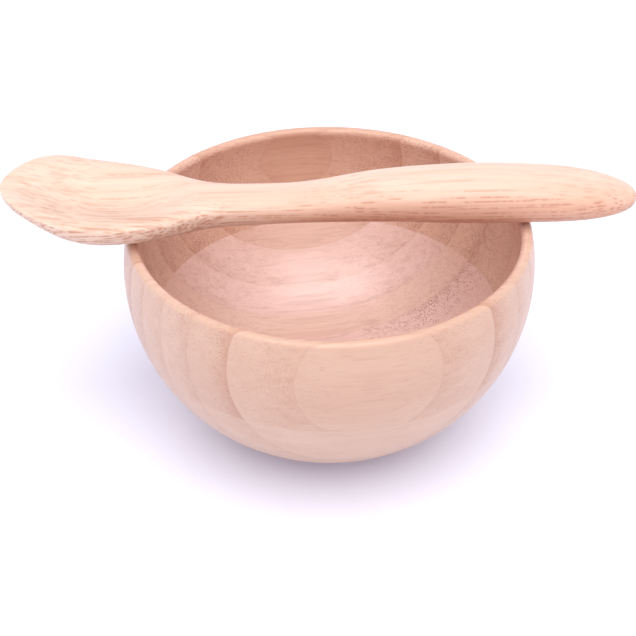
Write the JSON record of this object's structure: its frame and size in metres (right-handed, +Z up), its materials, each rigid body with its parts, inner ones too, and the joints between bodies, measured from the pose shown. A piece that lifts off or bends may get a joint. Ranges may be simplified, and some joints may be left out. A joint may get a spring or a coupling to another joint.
{
  "type": "suction bowl",
  "caption": "Round feeding bowl turned from laminated bamboo, with a pull-out silicone suction foot under it and a bamboo spoon laid across the rim.",
  "frame": {"origin": "on the bowl's axis, in the plane of the suction foot's flat lip, which is the table", "axes": "+Z up out of the bowl's mouth, +X along the spoon towards the end of its handle, +Y across the spoon, towards the suction foot's pull tab"},
  "size_m": [0.1676, 0.11, 0.0745],
  "materials": {
    "bamboo_light": "satin oil finish, fine vertical fibre",
    "bamboo_dark": "satin oil finish, dense fibre bundles",
    "bamboo_spoon": "sanded smooth, pale",
    "silicone": "soft translucent satin"
  },
  "bodies": {
    "bowl": {"rim_strip_01": "bamboo_dark", "rim_strip_02": "bamboo_light", "rim_strip_03": "bamboo_dark", "rim_strip_04": "bamboo_light", "rim_strip_05": "bamboo_dark", "rim_strip_06": "bamboo_light", "rim_strip_07": "bamboo_dark", "rim_strip_08": "bamboo_light", "rim_strip_09": "bamboo_dark", "rim_strip_10": "bamboo_light", "rim_strip_11": "bamboo_dark", "rim_strip_12": "bamboo_light", "rim_strip_13": "bamboo_dark", "rim_strip_14": "bamboo_light", "base_strip_01": "bamboo_light", "base_strip_02": "bamboo_dark", "base_strip_03": "bamboo_light", "base_strip_04": "bamboo_dark", "base_strip_05": "bamboo_light", "base_strip_06": "bamboo_dark", "base_strip_07": "bamboo_light", "base_strip_08": "bamboo_dark", "base_strip_09": "bamboo_light", "base_strip_10": "bamboo_dark", "base_strip_11": "bamboo_light", "base_strip_12": "bamboo_dark"},
    "suction_foot": {"suction_foot": "silicone"},
    "spoon": {"spoon": "bamboo_spoon"}
  },
  "joints": [
    {"name": "spoon_lift", "type": "slide", "parent": "bowl", "child": "spoon", "axis": [0, 0, 1], "range_m": [0, 0.08]},
    {"name": "suction_foot_pull", "type": "slide", "parent": "bowl", "child": "suction_foot", "axis": [0, 0, -1], "range_m": [0, 0.012]}
  ]
}
